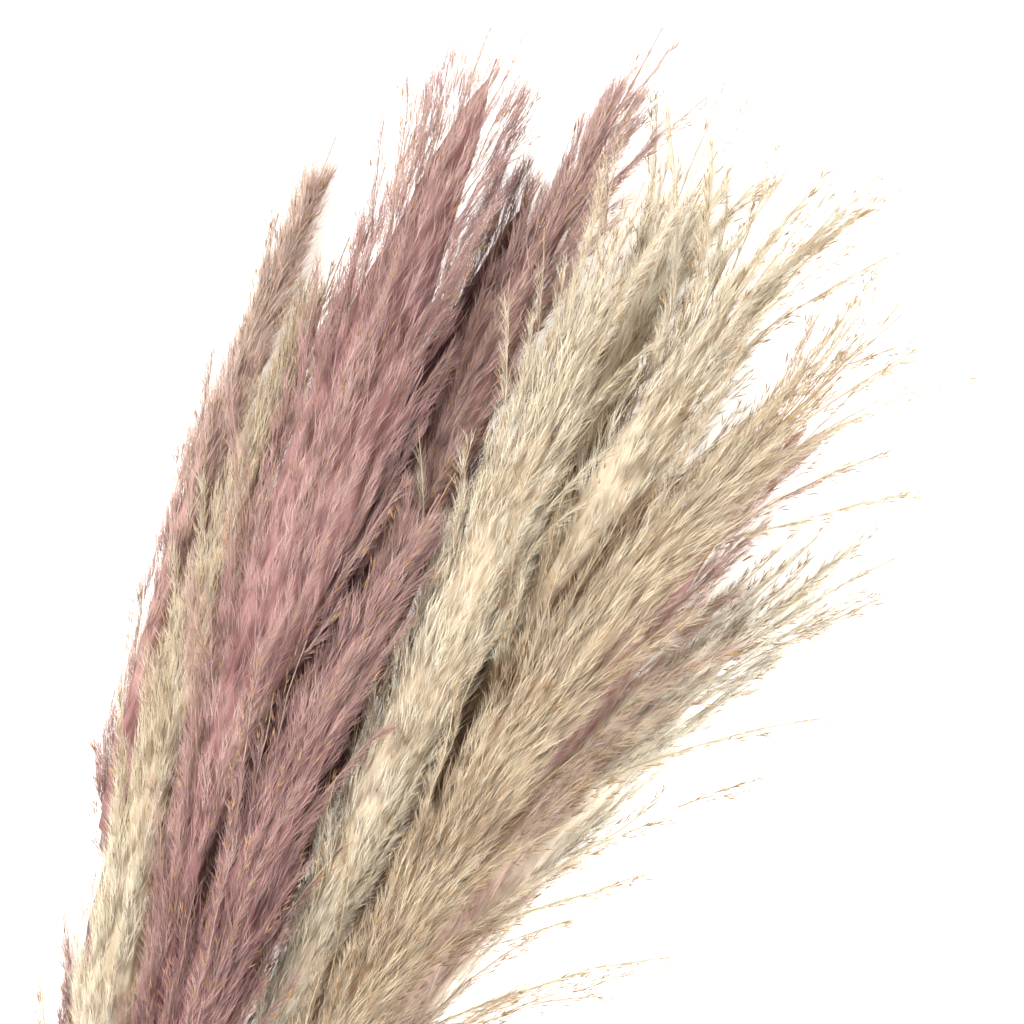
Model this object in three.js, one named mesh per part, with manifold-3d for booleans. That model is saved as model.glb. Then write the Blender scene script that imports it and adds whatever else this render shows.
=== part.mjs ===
// A tied bunch of dried pampas grass, lying on a surface. Twelve stems are held by one
// band and fan out from it. Each stem runs on as the thin rachis inside its own plume of
// silky hair. The plumes lie in a heap, so each one is pressed in by those above it, and
// the lowest are flattened by the surface. +Y runs along the bunch from the cut ends to
// the tips, +X to its right, +Z up, in millimetres.

import * as THREE from 'three';
import { mergeVertices } from 'three/addons/utils/BufferGeometryUtils.js';
import Module from 'manifold-3d';

const wasm = await Module();
wasm.setup();

// Driving dimensions.
const TALLEST = 712; // from the band to the highest tip, along the bunch
const CUT_END = 82; // longest stem end below the band
const CULM_RADIUS = 2.4; // stem up to its plume
const STEM_GAP = 0.8; // between stems in the band
const RACHIS_RADIUS = 0.8; // thin end of the stem inside the plume
const RACHIS_STOP = 45; // plume left above the end of the stem
const CUT_SPLAY = 1.35; // how far the cut ends spread behind the band
const BAND_WIDTH = 20; // along the stems
const BAND_WALL = 2.2;
const FLATNESS = 0.75; // thickness of a plume over its width
const PLUME_FOOT = 0.22; // radius at the foot of a plume over its widest radius
const FOOT_FULLNESS = 1; // below 1 the plume swells sooner above its foot
const TIP_FULLNESS = 0.6; // below 1 the tip is blunter
const SWAY_POWER = 4; // a high power keeps the sideways bend near the tip
const GAP = 0.3; // clearance between pieces that touch

// How finely the round forms are divided.
const STEM_SIDES = 6;
const STEM_RINGS = 15;
const PLUME_SIDES = 10;
const PLUME_RINGS = 12;
const BAND_SIDES = 24;
const PATH_STATIONS = 6;

// Colours of the hair, the stems and the band.
const ROSE = 0xb08c8c;
const CREAM = 0xd8cdb2;
const STRAW = 0xc8b192;
const CULM = 0xc3a972;
const TWINE = 0xa98452;

// One row for each stem, from the top of the heap to the bottom.
// slot: column and row in the band, counted in stem spacings from the middle and from below
// lean: degrees to the right of the bunch's axis that the stem takes as it leaves the band
// sway: how far the tip bends to the right of that line; below: how far it stays under the
// highest tip; rise and tip: height of the middle of the stem and of its tip above the
// surface, if the plumes were round: the heap settles as they flatten
// plume: length of the plume; width: its widest measure; belly: where along the plume that
// is, from 0 at its foot to 1 at its tip; cut: how much shorter the stem was cut
const STEMS = [
  { name: 'cream_right', slot: [0.5, 3], lean: 3.6, sway: 84, below: 54, rise: 83, tip: 60,
    plume: 530, width: 44, belly: 0.6, cut: 0, colour: CREAM },
  { name: 'rose_front', slot: [-0.5, 3], lean: -5.2, sway: 34, below: 190, rise: 77, tip: 78,
    plume: 380, width: 42, belly: 0.5, cut: 14, colour: ROSE },
  { name: 'rose_tall', slot: [-1, 2], lean: -7, sway: 30, below: 20, rise: 64, tip: 60,
    plume: 560, width: 66, belly: 0.7, cut: 5, colour: ROSE },
  { name: 'cream_front', slot: [0, 2], lean: 1, sway: 1, below: 44, rise: 61, tip: 66,
    plume: 530, width: 46, belly: 0.62, cut: 9, colour: CREAM },
  { name: 'cream_crest', slot: [1, 2], lean: 4, sway: 16, below: 16, rise: 52, tip: 48,
    plume: 540, width: 50, belly: 0.62, cut: 3, colour: CREAM },
  { name: 'rose_right', slot: [1.5, 1], lean: 5.6, sway: 47, below: 84, rise: 43, tip: 27,
    plume: 490, width: 48, belly: 0.62, cut: 11, colour: ROSE },
  { name: 'rose_crest', slot: [-0.5, 1], lean: -3.4, sway: 37, below: 12, rise: 37, tip: 45,
    plume: 560, width: 50, belly: 0.62, cut: 7, colour: ROSE },
  { name: 'straw_left', slot: [-1.5, 1], lean: -11, sway: 35, below: 106, rise: 29, tip: 24,
    plume: 480, width: 50, belly: 0.45, cut: 2, colour: STRAW },
  { name: 'cream_tall', slot: [0.5, 1], lean: 3.2, sway: -12, below: 0, rise: 21, tip: 32,
    plume: 560, width: 52, belly: 0.62, cut: 12, colour: CREAM },
  { name: 'cream_low', slot: [1, 0], lean: 5.4, sway: 104, below: 134, rise: 20, tip: 12,
    plume: 450, width: 56, belly: 0.7, cut: 6, colour: CREAM },
  { name: 'rose_back', slot: [0, 0], lean: -6.5, sway: 48, below: 56, rise: 15, tip: 24,
    plume: 430, width: 40, belly: 0.6, cut: 10, colour: ROSE },
  { name: 'rose_edge', slot: [-1, 0], lean: -13.8, sway: 46, below: 88, rise: 12, tip: 12,
    plume: 490, width: 33, belly: 0.45, cut: 4, colour: ROSE },
];

// Stems lie in close-packed rows inside the band.
const SPACING = 2 * CULM_RADIUS + STEM_GAP;
const ROW_RISE = SPACING * Math.sin(Math.PI / 3);
const MIDDLE_ROW = 1.5;

function slotOffset(stem) {
  const [column, row] = stem.slot;
  return new THREE.Vector2(column * SPACING, (row - MIDDLE_ROW) * ROW_RISE);
}

// The corners of a band with few sides lie outside its flats, so the flats set the bore.
const packRadius = Math.max(...STEMS.map((stem) => slotOffset(stem).length())) + CULM_RADIUS;
const bandBore = (packRadius + GAP) / Math.cos(Math.PI / BAND_SIDES);
const bandRadius = bandBore + BAND_WALL;

// The line a stem follows: cut end, straight through the band, then out to the tip, with
// most of its sideways bend near the tip.
function stemPath(stem) {
  const offset = slotOffset(stem);
  const height = bandRadius + offset.y;
  const reach = TALLEST - stem.below;
  const slope = Math.tan(THREE.MathUtils.degToRad(stem.lean));
  const tipHeight = stem.tip * FLATNESS;
  const heave = stem.rise * FLATNESS - (height + tipHeight) / 2;
  const cutHeight = bandRadius + offset.y * CUT_SPLAY;
  const points = [
    new THREE.Vector3(offset.x * CUT_SPLAY, stem.cut - CUT_END, cutHeight),
    new THREE.Vector3(offset.x, -BAND_WIDTH / 2, height),
    new THREE.Vector3(offset.x, BAND_WIDTH / 2, height),
  ];
  for (let station = 1; station <= PATH_STATIONS; station += 1) {
    const t = station / PATH_STATIONS;
    const swell = 4 * t * (1 - t);
    points.push(new THREE.Vector3(
      offset.x + slope * reach * t + stem.sway * t ** SWAY_POWER,
      reach * t,
      THREE.MathUtils.lerp(height, tipHeight, t) + heave * swell,
    ));
  }
  return new THREE.CatmullRomCurve3(points, false, 'centripetal');
}

// Bends a straight solid, built up the Y axis, along a path. Nothing goes below the surface.
function bendAlong(straight, path, flatness) {
  const corners = straight.attributes.position;
  const length = path.getLength();
  for (let i = 0; i < corners.count; i += 1) {
    const distance = THREE.MathUtils.clamp(corners.getY(i), 0, length);
    const place = path.getPointAt(distance / length);
    const along = path.getTangentAt(distance / length);
    const side = new THREE.Vector3(along.y, -along.x, 0).normalize();
    const up = new THREE.Vector3().crossVectors(side, along);
    place.addScaledVector(along, corners.getY(i) - distance);
    place.addScaledVector(side, corners.getX(i));
    place.addScaledVector(up, corners.getZ(i) * flatness);
    corners.setXYZ(i, place.x, place.y, Math.max(place.z, 0));
  }
  return straight;
}

// Places along a line, evenly spaced, with both its ends.
function evenly(from, to, count) {
  return Array.from({ length: count + 1 }, (_, i) => THREE.MathUtils.lerp(from, to, i / count));
}

// A solid turned round the Y axis, with a ring at each place and its radius from a formula.
function turned(places, sides, radiusAt) {
  const profile = [new THREE.Vector2(0, places[0])];
  for (const place of places) {
    profile.push(new THREE.Vector2(radiusAt(place), place));
  }
  profile.push(new THREE.Vector2(0, places[places.length - 1]));
  return new THREE.LatheGeometry(profile, sides);
}

// The culm and rachis: an even stem that thins from the foot of the plume to its end.
function stemGeometry(stem, growth) {
  const path = stemPath(stem);
  const end = path.getLength() - RACHIS_STOP;
  const foot = path.getLength() - stem.plume;
  const bandStart = CUT_END - stem.cut - BAND_WIDTH / 2;
  const bandStop = bandStart + BAND_WIDTH;
  const places = [-growth, bandStart, ...evenly(bandStop, end + growth, STEM_RINGS)];
  const radiusAt = (place) => {
    const thinning = THREE.MathUtils.clamp((place - foot) / (end - foot), 0, 1);
    return THREE.MathUtils.lerp(CULM_RADIUS, RACHIS_RADIUS, thinning) + growth;
  };
  return bendAlong(turned(places, STEM_SIDES, radiusAt), path, 1);
}

// The plume: a spindle with a narrow foot, a full belly and a pointed tip.
function plumeGeometry(stem, growth) {
  const path = stemPath(stem);
  const length = path.getLength();
  const from = length - stem.plume;
  const radiusAt = (place) => {
    const share = THREE.MathUtils.clamp((place - from) / stem.plume, 0, 1);
    const below = Math.min(share / stem.belly, 1);
    const past = Math.max((share - stem.belly) / (1 - stem.belly), 0);
    const swelling = Math.sin(Math.PI / 2 * below) ** FOOT_FULLNESS;
    const thinning = Math.max(Math.cos(Math.PI / 2 * past), 0) ** TIP_FULLNESS;
    return (stem.width / 2) * Math.max(swelling * thinning, PLUME_FOOT * (1 - share)) + growth;
  };
  const places = evenly(from - growth, length + growth, PLUME_RINGS);
  return bendAlong(turned(places, PLUME_SIDES, radiusAt), path, FLATNESS);
}

// The band: a short tube round all the stems, resting on the surface.
function bandGeometry() {
  const half = BAND_WIDTH / 2;
  const profile = [
    new THREE.Vector2(bandBore, -half),
    new THREE.Vector2(bandRadius, -half),
    new THREE.Vector2(bandRadius, half),
    new THREE.Vector2(bandBore, half),
    new THREE.Vector2(bandBore, -half),
  ];
  return new THREE.LatheGeometry(profile, BAND_SIDES).translate(0, 0, bandRadius);
}

// Between three.js geometry and solids that can be cut.
function toSolid(geometry) {
  geometry.deleteAttribute('normal');
  geometry.deleteAttribute('uv');
  const merged = mergeVertices(geometry);
  return new wasm.Manifold(new wasm.Mesh({
    numProp: 3,
    vertProperties: merged.attributes.position.array,
    triVerts: merged.index.array,
  }));
}

function toGeometry(solid) {
  const mesh = solid.getMesh();
  const geometry = new THREE.BufferGeometry();
  geometry.setAttribute('position', new THREE.BufferAttribute(mesh.vertProperties, 3));
  geometry.setIndex(new THREE.BufferAttribute(mesh.triVerts, 1));
  geometry.computeVertexNormals();
  return geometry;
}

const group = new THREE.Group();

function addPiece(name, solid, colour, roughness) {
  const material = new THREE.MeshStandardMaterial({ color: colour, roughness, metalness: 0 });
  const mesh = new THREE.Mesh(toGeometry(solid), material);
  mesh.name = name;
  group.add(mesh);
}

for (const stem of STEMS) {
  addPiece(`stem_${stem.name}`, toSolid(stemGeometry(stem, 0)), CULM, 0.6);
}

// Every plume is bored for the stems that run through it and pressed in by those above.
const bores = STEMS.map((stem) => toSolid(stemGeometry(stem, GAP)));
const above = [];
for (const stem of STEMS) {
  let plume = toSolid(plumeGeometry(stem, 0));
  for (const cutter of [...bores, ...above]) {
    plume = plume.subtract(cutter);
  }
  addPiece(`plume_${stem.name}`, plume, stem.colour, 0.95);
  above.push(toSolid(plumeGeometry(stem, GAP)));
}

addPiece('tie', toSolid(bandGeometry()), TWINE, 0.9);

// The origin is under the middle of the whole bunch, on the surface it lies on.
const bounds = new THREE.Box3().setFromObject(group);
const middle = bounds.getCenter(new THREE.Vector3());
group.position.set(-middle.x, -middle.y, -bounds.min.z);

export default group;
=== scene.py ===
import math

import bpy
import numpy as np
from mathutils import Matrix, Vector


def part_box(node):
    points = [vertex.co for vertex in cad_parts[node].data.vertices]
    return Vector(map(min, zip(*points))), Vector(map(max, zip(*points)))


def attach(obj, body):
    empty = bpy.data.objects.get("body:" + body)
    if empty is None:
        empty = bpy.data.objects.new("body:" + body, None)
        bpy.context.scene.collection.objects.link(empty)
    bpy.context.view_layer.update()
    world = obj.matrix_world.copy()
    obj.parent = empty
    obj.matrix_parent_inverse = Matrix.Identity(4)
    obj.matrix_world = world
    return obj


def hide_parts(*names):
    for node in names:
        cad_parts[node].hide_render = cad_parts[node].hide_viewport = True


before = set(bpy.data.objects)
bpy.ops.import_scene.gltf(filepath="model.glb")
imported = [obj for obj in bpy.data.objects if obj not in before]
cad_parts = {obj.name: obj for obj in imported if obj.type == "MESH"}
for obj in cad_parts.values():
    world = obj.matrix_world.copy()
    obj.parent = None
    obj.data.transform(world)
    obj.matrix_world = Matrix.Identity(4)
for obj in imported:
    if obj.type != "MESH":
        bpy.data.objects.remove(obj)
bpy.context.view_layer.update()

MM = 0.001


# Stems. Each is one dry, hollow culm, straw coloured and slightly glossy, with a swollen
# joint every hand's width. It thins into the rachis that carries the plume, and its foot is
# a clean slanting cut. The stems are held only by the tie.
RING_APART = 5 * MM
CULM_SIDES = 10
CULM_STEP = 2.4 * MM
JOINT_SPACING = 118 * MM
JOINT_WIDTH = 1.6 * MM
JOINT_SWELL = 0.24
JOINT_SHIFT_EACH = 0.37
STEM_NAMES = sorted(n[len("stem_"):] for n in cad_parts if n.startswith("stem_"))


def corners_of(node):
    """The corners of a CAD node, each one once."""
    corners = np.array([v.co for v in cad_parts[node].data.vertices])
    return np.unique(corners.round(6), axis=0)


def stem_line(name):
    """Centres and radii of the rings of a stem's solid, from its cut end to its thin end."""
    corners = corners_of(f"stem_{name}")
    corners = corners[np.argsort(corners[:, 1])]
    breaks = np.flatnonzero(np.diff(corners[:, 1]) > RING_APART) + 1
    rings = np.split(corners, breaks)
    centres = [ring.mean(axis=0) for ring in rings]
    radii = [np.linalg.norm(ring - c, axis=1).max() for ring, c in zip(rings, centres)]
    return centres, radii


def path_object(name, points, radii):
    """A curve object of one poly spline through the points."""
    data = bpy.data.curves.new(name, "CURVE")
    data.dimensions = "3D"
    spline = data.splines.new("POLY")
    spline.points.add(len(points) - 1)
    for point, place, radius in zip(spline.points, points, radii):
        point.co = (*place, 1)
        point.radius = radius
    path = bpy.data.objects.new(name, data)
    bpy.context.scene.collection.objects.link(path)
    return path


class Tree:
    """A Geometry Nodes tree that is built one node at a time."""

    def __init__(self, name):
        self.group = bpy.data.node_groups.new(name, "GeometryNodeTree")
        self.face = self.group.interface
        self.face.new_socket("Geometry", in_out="INPUT", socket_type="NodeSocketGeometry")
        self.face.new_socket("Geometry", in_out="OUTPUT", socket_type="NodeSocketGeometry")
        self.inputs = self.group.nodes.new("NodeGroupInput")
        self.outputs = self.group.nodes.new("NodeGroupOutput")

    def ask(self, name, kind="Float"):
        """A named input of the tree."""
        self.face.new_socket(name, in_out="INPUT", socket_type=f"NodeSocket{kind}")
        return self.inputs.outputs[name]

    def add(self, kind, *values, out=0, named=None, **settings):
        """A node with its inputs filled in order; gives back one of its outputs."""
        node = self.group.nodes.new(kind)
        for key, value in settings.items():
            setattr(node, key, value)
        sockets = [s for s in node.inputs if s.enabled]
        pairs = [(s, v) for s, v in zip(sockets, values) if v is not None]
        pairs += [(self.find(node, key), value) for key, value in (named or {}).items()]
        for socket, value in pairs:
            if isinstance(value, bpy.types.NodeSocket):
                self.group.links.new(value, socket)
            else:
                socket.default_value = value
        shown = [s for s in node.outputs if s.enabled]
        return shown[out] if isinstance(out, int) else next(s for s in shown if s.name == out)

    @staticmethod
    def find(node, name):
        return next(s for s in node.inputs if s.enabled and s.name == name)

    def math(self, operation, *values):
        return self.add("ShaderNodeMath", *values, operation=operation)

    def vector(self, operation, *values):
        out = "Value" if operation in {"DOT_PRODUCT", "LENGTH"} else "Vector"
        return self.add("ShaderNodeVectorMath", *values, operation=operation, out=out)

    def scaled(self, vector, factor):
        return self.add("ShaderNodeVectorMath", named={"Vector": vector, "Scale": factor},
                        operation="SCALE")

    def blend(self, share, low, high):
        return self.add("ShaderNodeMix", named={"Factor": share, "A": low, "B": high},
                        data_type="FLOAT")

    def chance(self, low, high, seed, key=None):
        """A random number for each element, or for each value of the key."""
        named = {"Min": low, "Max": high, "Seed": seed}
        if key is not None:
            named["ID"] = key
        return self.add("FunctionNodeRandomValue", named=named, data_type="FLOAT")

    def compare(self, first, operation, second):
        return self.add("FunctionNodeCompare", named={"A": first, "B": second},
                        operation=operation)

    def both(self, first, second):
        return self.add("FunctionNodeBooleanMath", first, second, operation="AND")

    def switch(self, test, no, yes):
        return self.add("GeometryNodeSwitch", named={"Switch": test, "False": no, "True": yes},
                        input_type="FLOAT")

    def store(self, geometry, name, value, kind="FLOAT", domain="POINT"):
        """The geometry with a value kept on it under a name."""
        return self.add("GeometryNodeStoreNamedAttribute",
                        named={"Geometry": geometry, "Name": name, "Value": value},
                        data_type=kind, domain=domain)

    def stored(self, name, kind="FLOAT"):
        return self.add("GeometryNodeInputNamedAttribute", named={"Name": name}, data_type=kind)

    def join(self, *parts):
        node = self.group.nodes.new("GeometryNodeJoinGeometry")
        for part in parts:
            self.group.links.new(part, node.inputs[0])
        return node.outputs[0]

    def finish(self, geometry, material):
        whole = self.add("GeometryNodeRealizeInstances", geometry)
        smooth = self.add("GeometryNodeSetShadeSmooth", whole)
        painted = self.add("GeometryNodeSetMaterial",
                           named={"Geometry": smooth, "Material": material})
        self.group.links.new(painted, self.outputs.inputs[0])


def grown(name, base, tree, values):
    """The plain mesh that a tree makes from an object, as a new object of its own."""
    modifier = base.modifiers.new("growth", "NODES")
    modifier.node_group = tree.group
    for item in tree.face.items_tree:
        if item.in_out == "INPUT" and item.name in values:
            modifier[item.identifier] = values[item.name]
    base.update_tag()
    graph = bpy.context.evaluated_depsgraph_get()
    mesh = bpy.data.meshes.new_from_object(base.evaluated_get(graph), depsgraph=graph)
    base.modifiers.remove(modifier)
    mesh.name = name
    made = bpy.data.objects.new(name, mesh)
    bpy.context.scene.collection.objects.link(made)
    return made


def shader(name, roughness, **sockets):
    """A new material with a Principled surface; gives its node tree and that node."""
    material = bpy.data.materials.new(name)
    material.use_nodes = True
    surface = material.node_tree.nodes["Principled BSDF"]
    surface.inputs["Roughness"].default_value = roughness
    for key, value in sockets.items():
        surface.inputs[key.replace("_", " ")].default_value = value
    return material, material.node_tree, surface


def ramp(nodes, stops):
    """A colour ramp with a colour at each place."""
    node = nodes.nodes.new("ShaderNodeValToRGB")
    elements = node.color_ramp.elements
    while len(elements) < len(stops):
        elements.new(0.5)
    for element, (place, colour) in zip(elements, stops):
        element.position = place
        element.color = (*colour, 1)
    return node


def culm_material():
    """Dry straw: long fibres along the stem, brown flecks and a soft waxy shine."""
    material, nodes, surface = shader("dry_culm", 0.48, Specular_IOR_Level=0.4)
    place = nodes.nodes.new("ShaderNodeTexCoord")
    along = nodes.nodes.new("ShaderNodeMapping")
    along.inputs["Scale"].default_value = (1, 0.03, 1)
    fibres = nodes.nodes.new("ShaderNodeTexNoise")
    fibres.inputs["Scale"].default_value = 2600
    fibres.inputs["Detail"].default_value = 3
    patches = nodes.nodes.new("ShaderNodeTexNoise")
    patches.inputs["Scale"].default_value = 34
    straw = ramp(nodes, [(0.25, (0.26, 0.18, 0.09)), (0.5, (0.50, 0.39, 0.22)),
                         (0.75, (0.65, 0.56, 0.38))])
    mixed = nodes.nodes.new("ShaderNodeMath")
    mixed.operation = "MULTIPLY_ADD"
    mixed.inputs[1].default_value = 0.45
    halved = nodes.nodes.new("ShaderNodeMath")
    halved.operation = "MULTIPLY"
    halved.inputs[1].default_value = 0.55
    bump = nodes.nodes.new("ShaderNodeBump")
    bump.inputs["Strength"].default_value = 0.5
    bump.inputs["Distance"].default_value = 0.15 * MM
    link = nodes.links.new
    link(place.outputs["Object"], along.inputs["Vector"])
    link(along.outputs["Vector"], fibres.inputs["Vector"])
    link(place.outputs["Object"], patches.inputs["Vector"])
    link(patches.outputs["Fac"], halved.inputs[0])
    link(fibres.outputs["Fac"], mixed.inputs[0])
    link(halved.outputs[0], mixed.inputs[2])
    link(mixed.outputs[0], straw.inputs["Fac"])
    link(straw.outputs["Color"], surface.inputs["Base Color"])
    link(fibres.outputs["Fac"], bump.inputs["Height"])
    link(bump.outputs["Normal"], surface.inputs["Normal"])
    return material


def culm_tree():
    """A tube along the stem's line, with joints that swell it a little."""
    tree = Tree("culm")
    spacing = tree.ask("Joint Spacing")
    width = tree.ask("Joint Width")
    swell = tree.ask("Joint Swell")
    shift = tree.ask("Joint Shift")
    step = tree.ask("Step")
    sides = tree.ask("Sides", "Int")
    material = tree.ask("Material", "Material")
    smooth = tree.add("GeometryNodeCurveSplineType", tree.inputs.outputs[0],
                      spline_type="CATMULL_ROM")
    line = tree.add("GeometryNodeResampleCurve",
                    named={"Curve": smooth, "Length": step}, mode="LENGTH")
    radius = tree.add("GeometryNodeInputRadius")
    distance = tree.add("GeometryNodeSplineParameter", out="Length")
    turns = tree.math("DIVIDE", tree.math("ADD", distance, shift), spacing)
    off = tree.math("MULTIPLY", tree.math("SUBTRACT", tree.math("FRACT", turns), 0.5), spacing)
    ratio = tree.math("DIVIDE", off, width)
    bell = tree.math("EXPONENT", tree.math("MULTIPLY", tree.math("MULTIPLY", ratio, ratio), -1.0))
    fuller = tree.math("MULTIPLY_ADD", bell, swell, 1.0)
    ring = tree.add("GeometryNodeCurvePrimitiveCircle", named={"Resolution": sides, "Radius": 1.0})
    tube = tree.add("GeometryNodeCurveToMesh",
                    named={"Curve": line, "Profile Curve": ring, "Fill Caps": True,
                           "Scale": tree.math("MULTIPLY", radius, fuller)})
    tree.finish(tube, material)
    return tree


culm_growth = culm_tree()
culm_finish = culm_material()
for number, name in enumerate(STEM_NAMES):
    centres, radii = stem_line(name)
    line = path_object(f"line_{name}", centres, radii)
    culm = grown(f"culm_{name}", line, culm_growth, {
        "Joint Spacing": JOINT_SPACING,
        "Joint Width": JOINT_WIDTH,
        "Joint Swell": JOINT_SWELL,
        "Joint Shift": JOINT_SPACING * ((number * JOINT_SHIFT_EACH) % 1),
        "Step": CULM_STEP,
        "Sides": CULM_SIDES,
        "Material": culm_finish,
    })
    bpy.data.objects.remove(line)
    culm.data.shade_smooth()
    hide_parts(f"stem_{name}")
    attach(culm, "root")


# Plumes. Each is the seed head on one stem: long side branches leave the rachis at a low
# angle, and carry tufts of silky hair with a slender brown spikelet here and there. The hair
# hides the branches, except where they stick out bare at the tips.
HAIR_LENGTH = 14 * MM
HAIR_WIDTH = 0.17 * MM
HAIRS_IN_TUFT = 9
HAIR_ANGLES = (4, 27)
HAIR_TURN = 2.4
HAIR_LEAN = 0.22
TUFT_KINDS = 8
HUSK_LENGTH = 5.4 * MM
HUSK_WIDTH = 0.5 * MM
HUSK_RISE = 2.5 * MM
HUSK_LEAN = 0.2
HUSK_KINDS = 4
# Mats are the longer hair that lies as a coat on the core.
MAT_LENGTH = 20 * MM
MAT_WIDTH = 0.26 * MM
HAIRS_IN_MAT = 8
MAT_ANGLES = (2, 16)
MAT_LEAN = 0.18
MAT_KINDS = 4
MATS_PER_BRANCH = 20
# The core's size is a share of the room up to the wall of the plume's solid.
CORE_AT_FOOT = 0.84
CORE_ABOVE = 0.60
CORE_RELIEF = 0.30
CORE_SIDES = 56
CORE_RINGS = 64
# Painted shade: the core is painted darker than the hair that coats it.
CORE_PAINTED_SHADE = 0.26
CORE_LEAST = 0.3 * MM
COAT_END = 0.98
BRANCH_POINTS = 10
BRANCH_STARTS_UNTIL = 0.86
GOLDEN_TURN = 2.39996
TWIG_RADII = (0.45 * MM, 0.2 * MM)
WAVE_SCALE = 28.0
WAVE_SIZE = 9 * MM
LOCK_SCALE = 34.0
LOCK_TURN = 0.9
PATCH_SCALE = 38.0
PATCH_STRENGTH = 0.7
PLUME_AREA_PER_BRANCH = 265 * MM * MM
PLUME_FLATNESS = 0.75
FULL_UNTIL = 0.86
HAIR_STANDS_OUT = 5 * MM
LEAST_ROOM = 1.3 * MM
MOST_ROOM = 80 * MM
AXIS_STEP = 6 * MM
ROOT_OUT = (3.4 * MM, 1.5 * MM)
# Hair on undersides and under other plumes is thinned to a share, and is painted darker as painted
# shade; hair facing up is painted paler as painted light.
UNDERSIDE = -0.35
COVER_REACH = 100 * MM
HIDDEN_SHARE = 0.22
COVERED_SHADE = 0.54
PAINTED_LIGHT_ON_TOP = 0.10
SOFT_REST = 3 * MM
HAIR_TONES = (0.02, 0.74)
HUSK_TONES = (0.80, 0.87)
BRANCH_TONES = (0.92, 0.97)
ROSE_TONES = [(0.00, (0.16, 0.06, 0.06)), (0.16, (0.39, 0.20, 0.19)),
              (0.34, (0.61, 0.38, 0.35)), (0.54, (0.77, 0.57, 0.47)), (0.76, (0.90, 0.76, 0.63)),
              (0.79, (0.26, 0.12, 0.05)), (0.88, (0.62, 0.36, 0.15)),
              (0.91, (0.46, 0.30, 0.18)), (0.98, (0.70, 0.53, 0.36))]
CREAM_TONES = [(0.00, (0.36, 0.24, 0.14)), (0.16, (0.69, 0.55, 0.38)),
               (0.34, (0.86, 0.74, 0.54)), (0.54, (0.95, 0.86, 0.68)), (0.76, (0.99, 0.95, 0.82)),
               (0.79, (0.24, 0.13, 0.07)), (0.88, (0.60, 0.39, 0.18)),
               (0.91, (0.52, 0.38, 0.22)), (0.98, (0.78, 0.64, 0.43))]
ONE_SIDE = 2 * math.pi / 3
SPINDLE_FACES = [(0, 2, 1), (0, 3, 2), (0, 1, 3), (4, 1, 2), (4, 2, 3), (4, 3, 1)]
SPINDLE_MARKS = [(0, 0), (-0.004, 0.5), (0, 0.5), (0.004, 0.5), (0, 1)]


def spindles_mesh(name, spindles):
    """A mesh of thin closed spindles, with a map of their tone across and their height up."""
    corners, faces, marks = [], [], []
    for root, middle, tip, width, tone in spindles:
        along = (tip - root).normalized()
        side = along.orthogonal().normalized()
        other = along.cross(side)
        first = len(corners)
        corners.append(root)
        for turn in (0, ONE_SIDE, 2 * ONE_SIDE):
            corners.append(middle + (side * math.cos(turn) + other * math.sin(turn)) * width / 2)
        corners.append(tip)
        marks += [(tone + shift, height) for shift, height in SPINDLE_MARKS]
        faces += [tuple(first + corner for corner in face) for face in SPINDLE_FACES]
    mesh = bpy.data.meshes.new(name)
    mesh.from_pydata([tuple(c) for c in corners], [], faces)
    layer = mesh.uv_layers.new(name="strand")
    for loop in mesh.loops:
        layer.data[loop.index].uv = marks[loop.vertex_index]
    return mesh


def cone_mesh(name, seed, count, length, width, angles):
    """Hairs that leave one point in a forward cone, each bending outwards as it goes."""
    rng = np.random.default_rng(seed)
    spindles = []
    for hair in range(count):
        angle = math.radians(rng.uniform(*angles))
        turn = hair * HAIR_TURN + rng.uniform(-0.5, 0.5)
        out = Vector((math.cos(turn), math.sin(turn), 0))
        way = out * math.sin(angle) + Vector((0, 0, math.cos(angle)))
        reach = length * rng.uniform(0.62, 1.2)
        root = Vector((0, 0, rng.uniform(-1.2, 1.2) * MM))
        stray = Vector(rng.uniform(-0.07, 0.07, 3))
        middle = root + (way * 0.5 + stray - out * rng.uniform(0.01, 0.12)) * reach
        tip = root + way * reach
        tone = rng.uniform(-0.05, 0.05)
        spindles.append((root, middle, tip, width * rng.uniform(0.75, 1.2), tone))
    return spindles_mesh(name, spindles)


def husk_mesh(number):
    """One or two slender husks, pointed at both ends and held a little off the branch."""
    rng = np.random.default_rng(200 + number)
    spindles = []
    for husk in range(1 + number % 2):
        lean = Vector((0.25 * (husk * 2 - 1) * (number % 2) + 0.2, rng.uniform(-0.1, 0.1), 1))
        root = Vector((0.8, 0, husk * 0.6)) * MM
        tip = root + lean.normalized() * HUSK_LENGTH * rng.uniform(0.8, 1.2)
        spindles.append((root, root * 0.6 + tip * 0.4, tip, HUSK_WIDTH, 0.01 * husk))
    return spindles_mesh(f"husk_{number}", spindles)


def kinds(name, meshes):
    """A hidden collection of the small shapes that a tree picks from."""
    collection = bpy.data.collections.new(name)
    for mesh in meshes:
        collection.objects.link(bpy.data.objects.new(mesh.name, mesh))
    return collection


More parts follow.
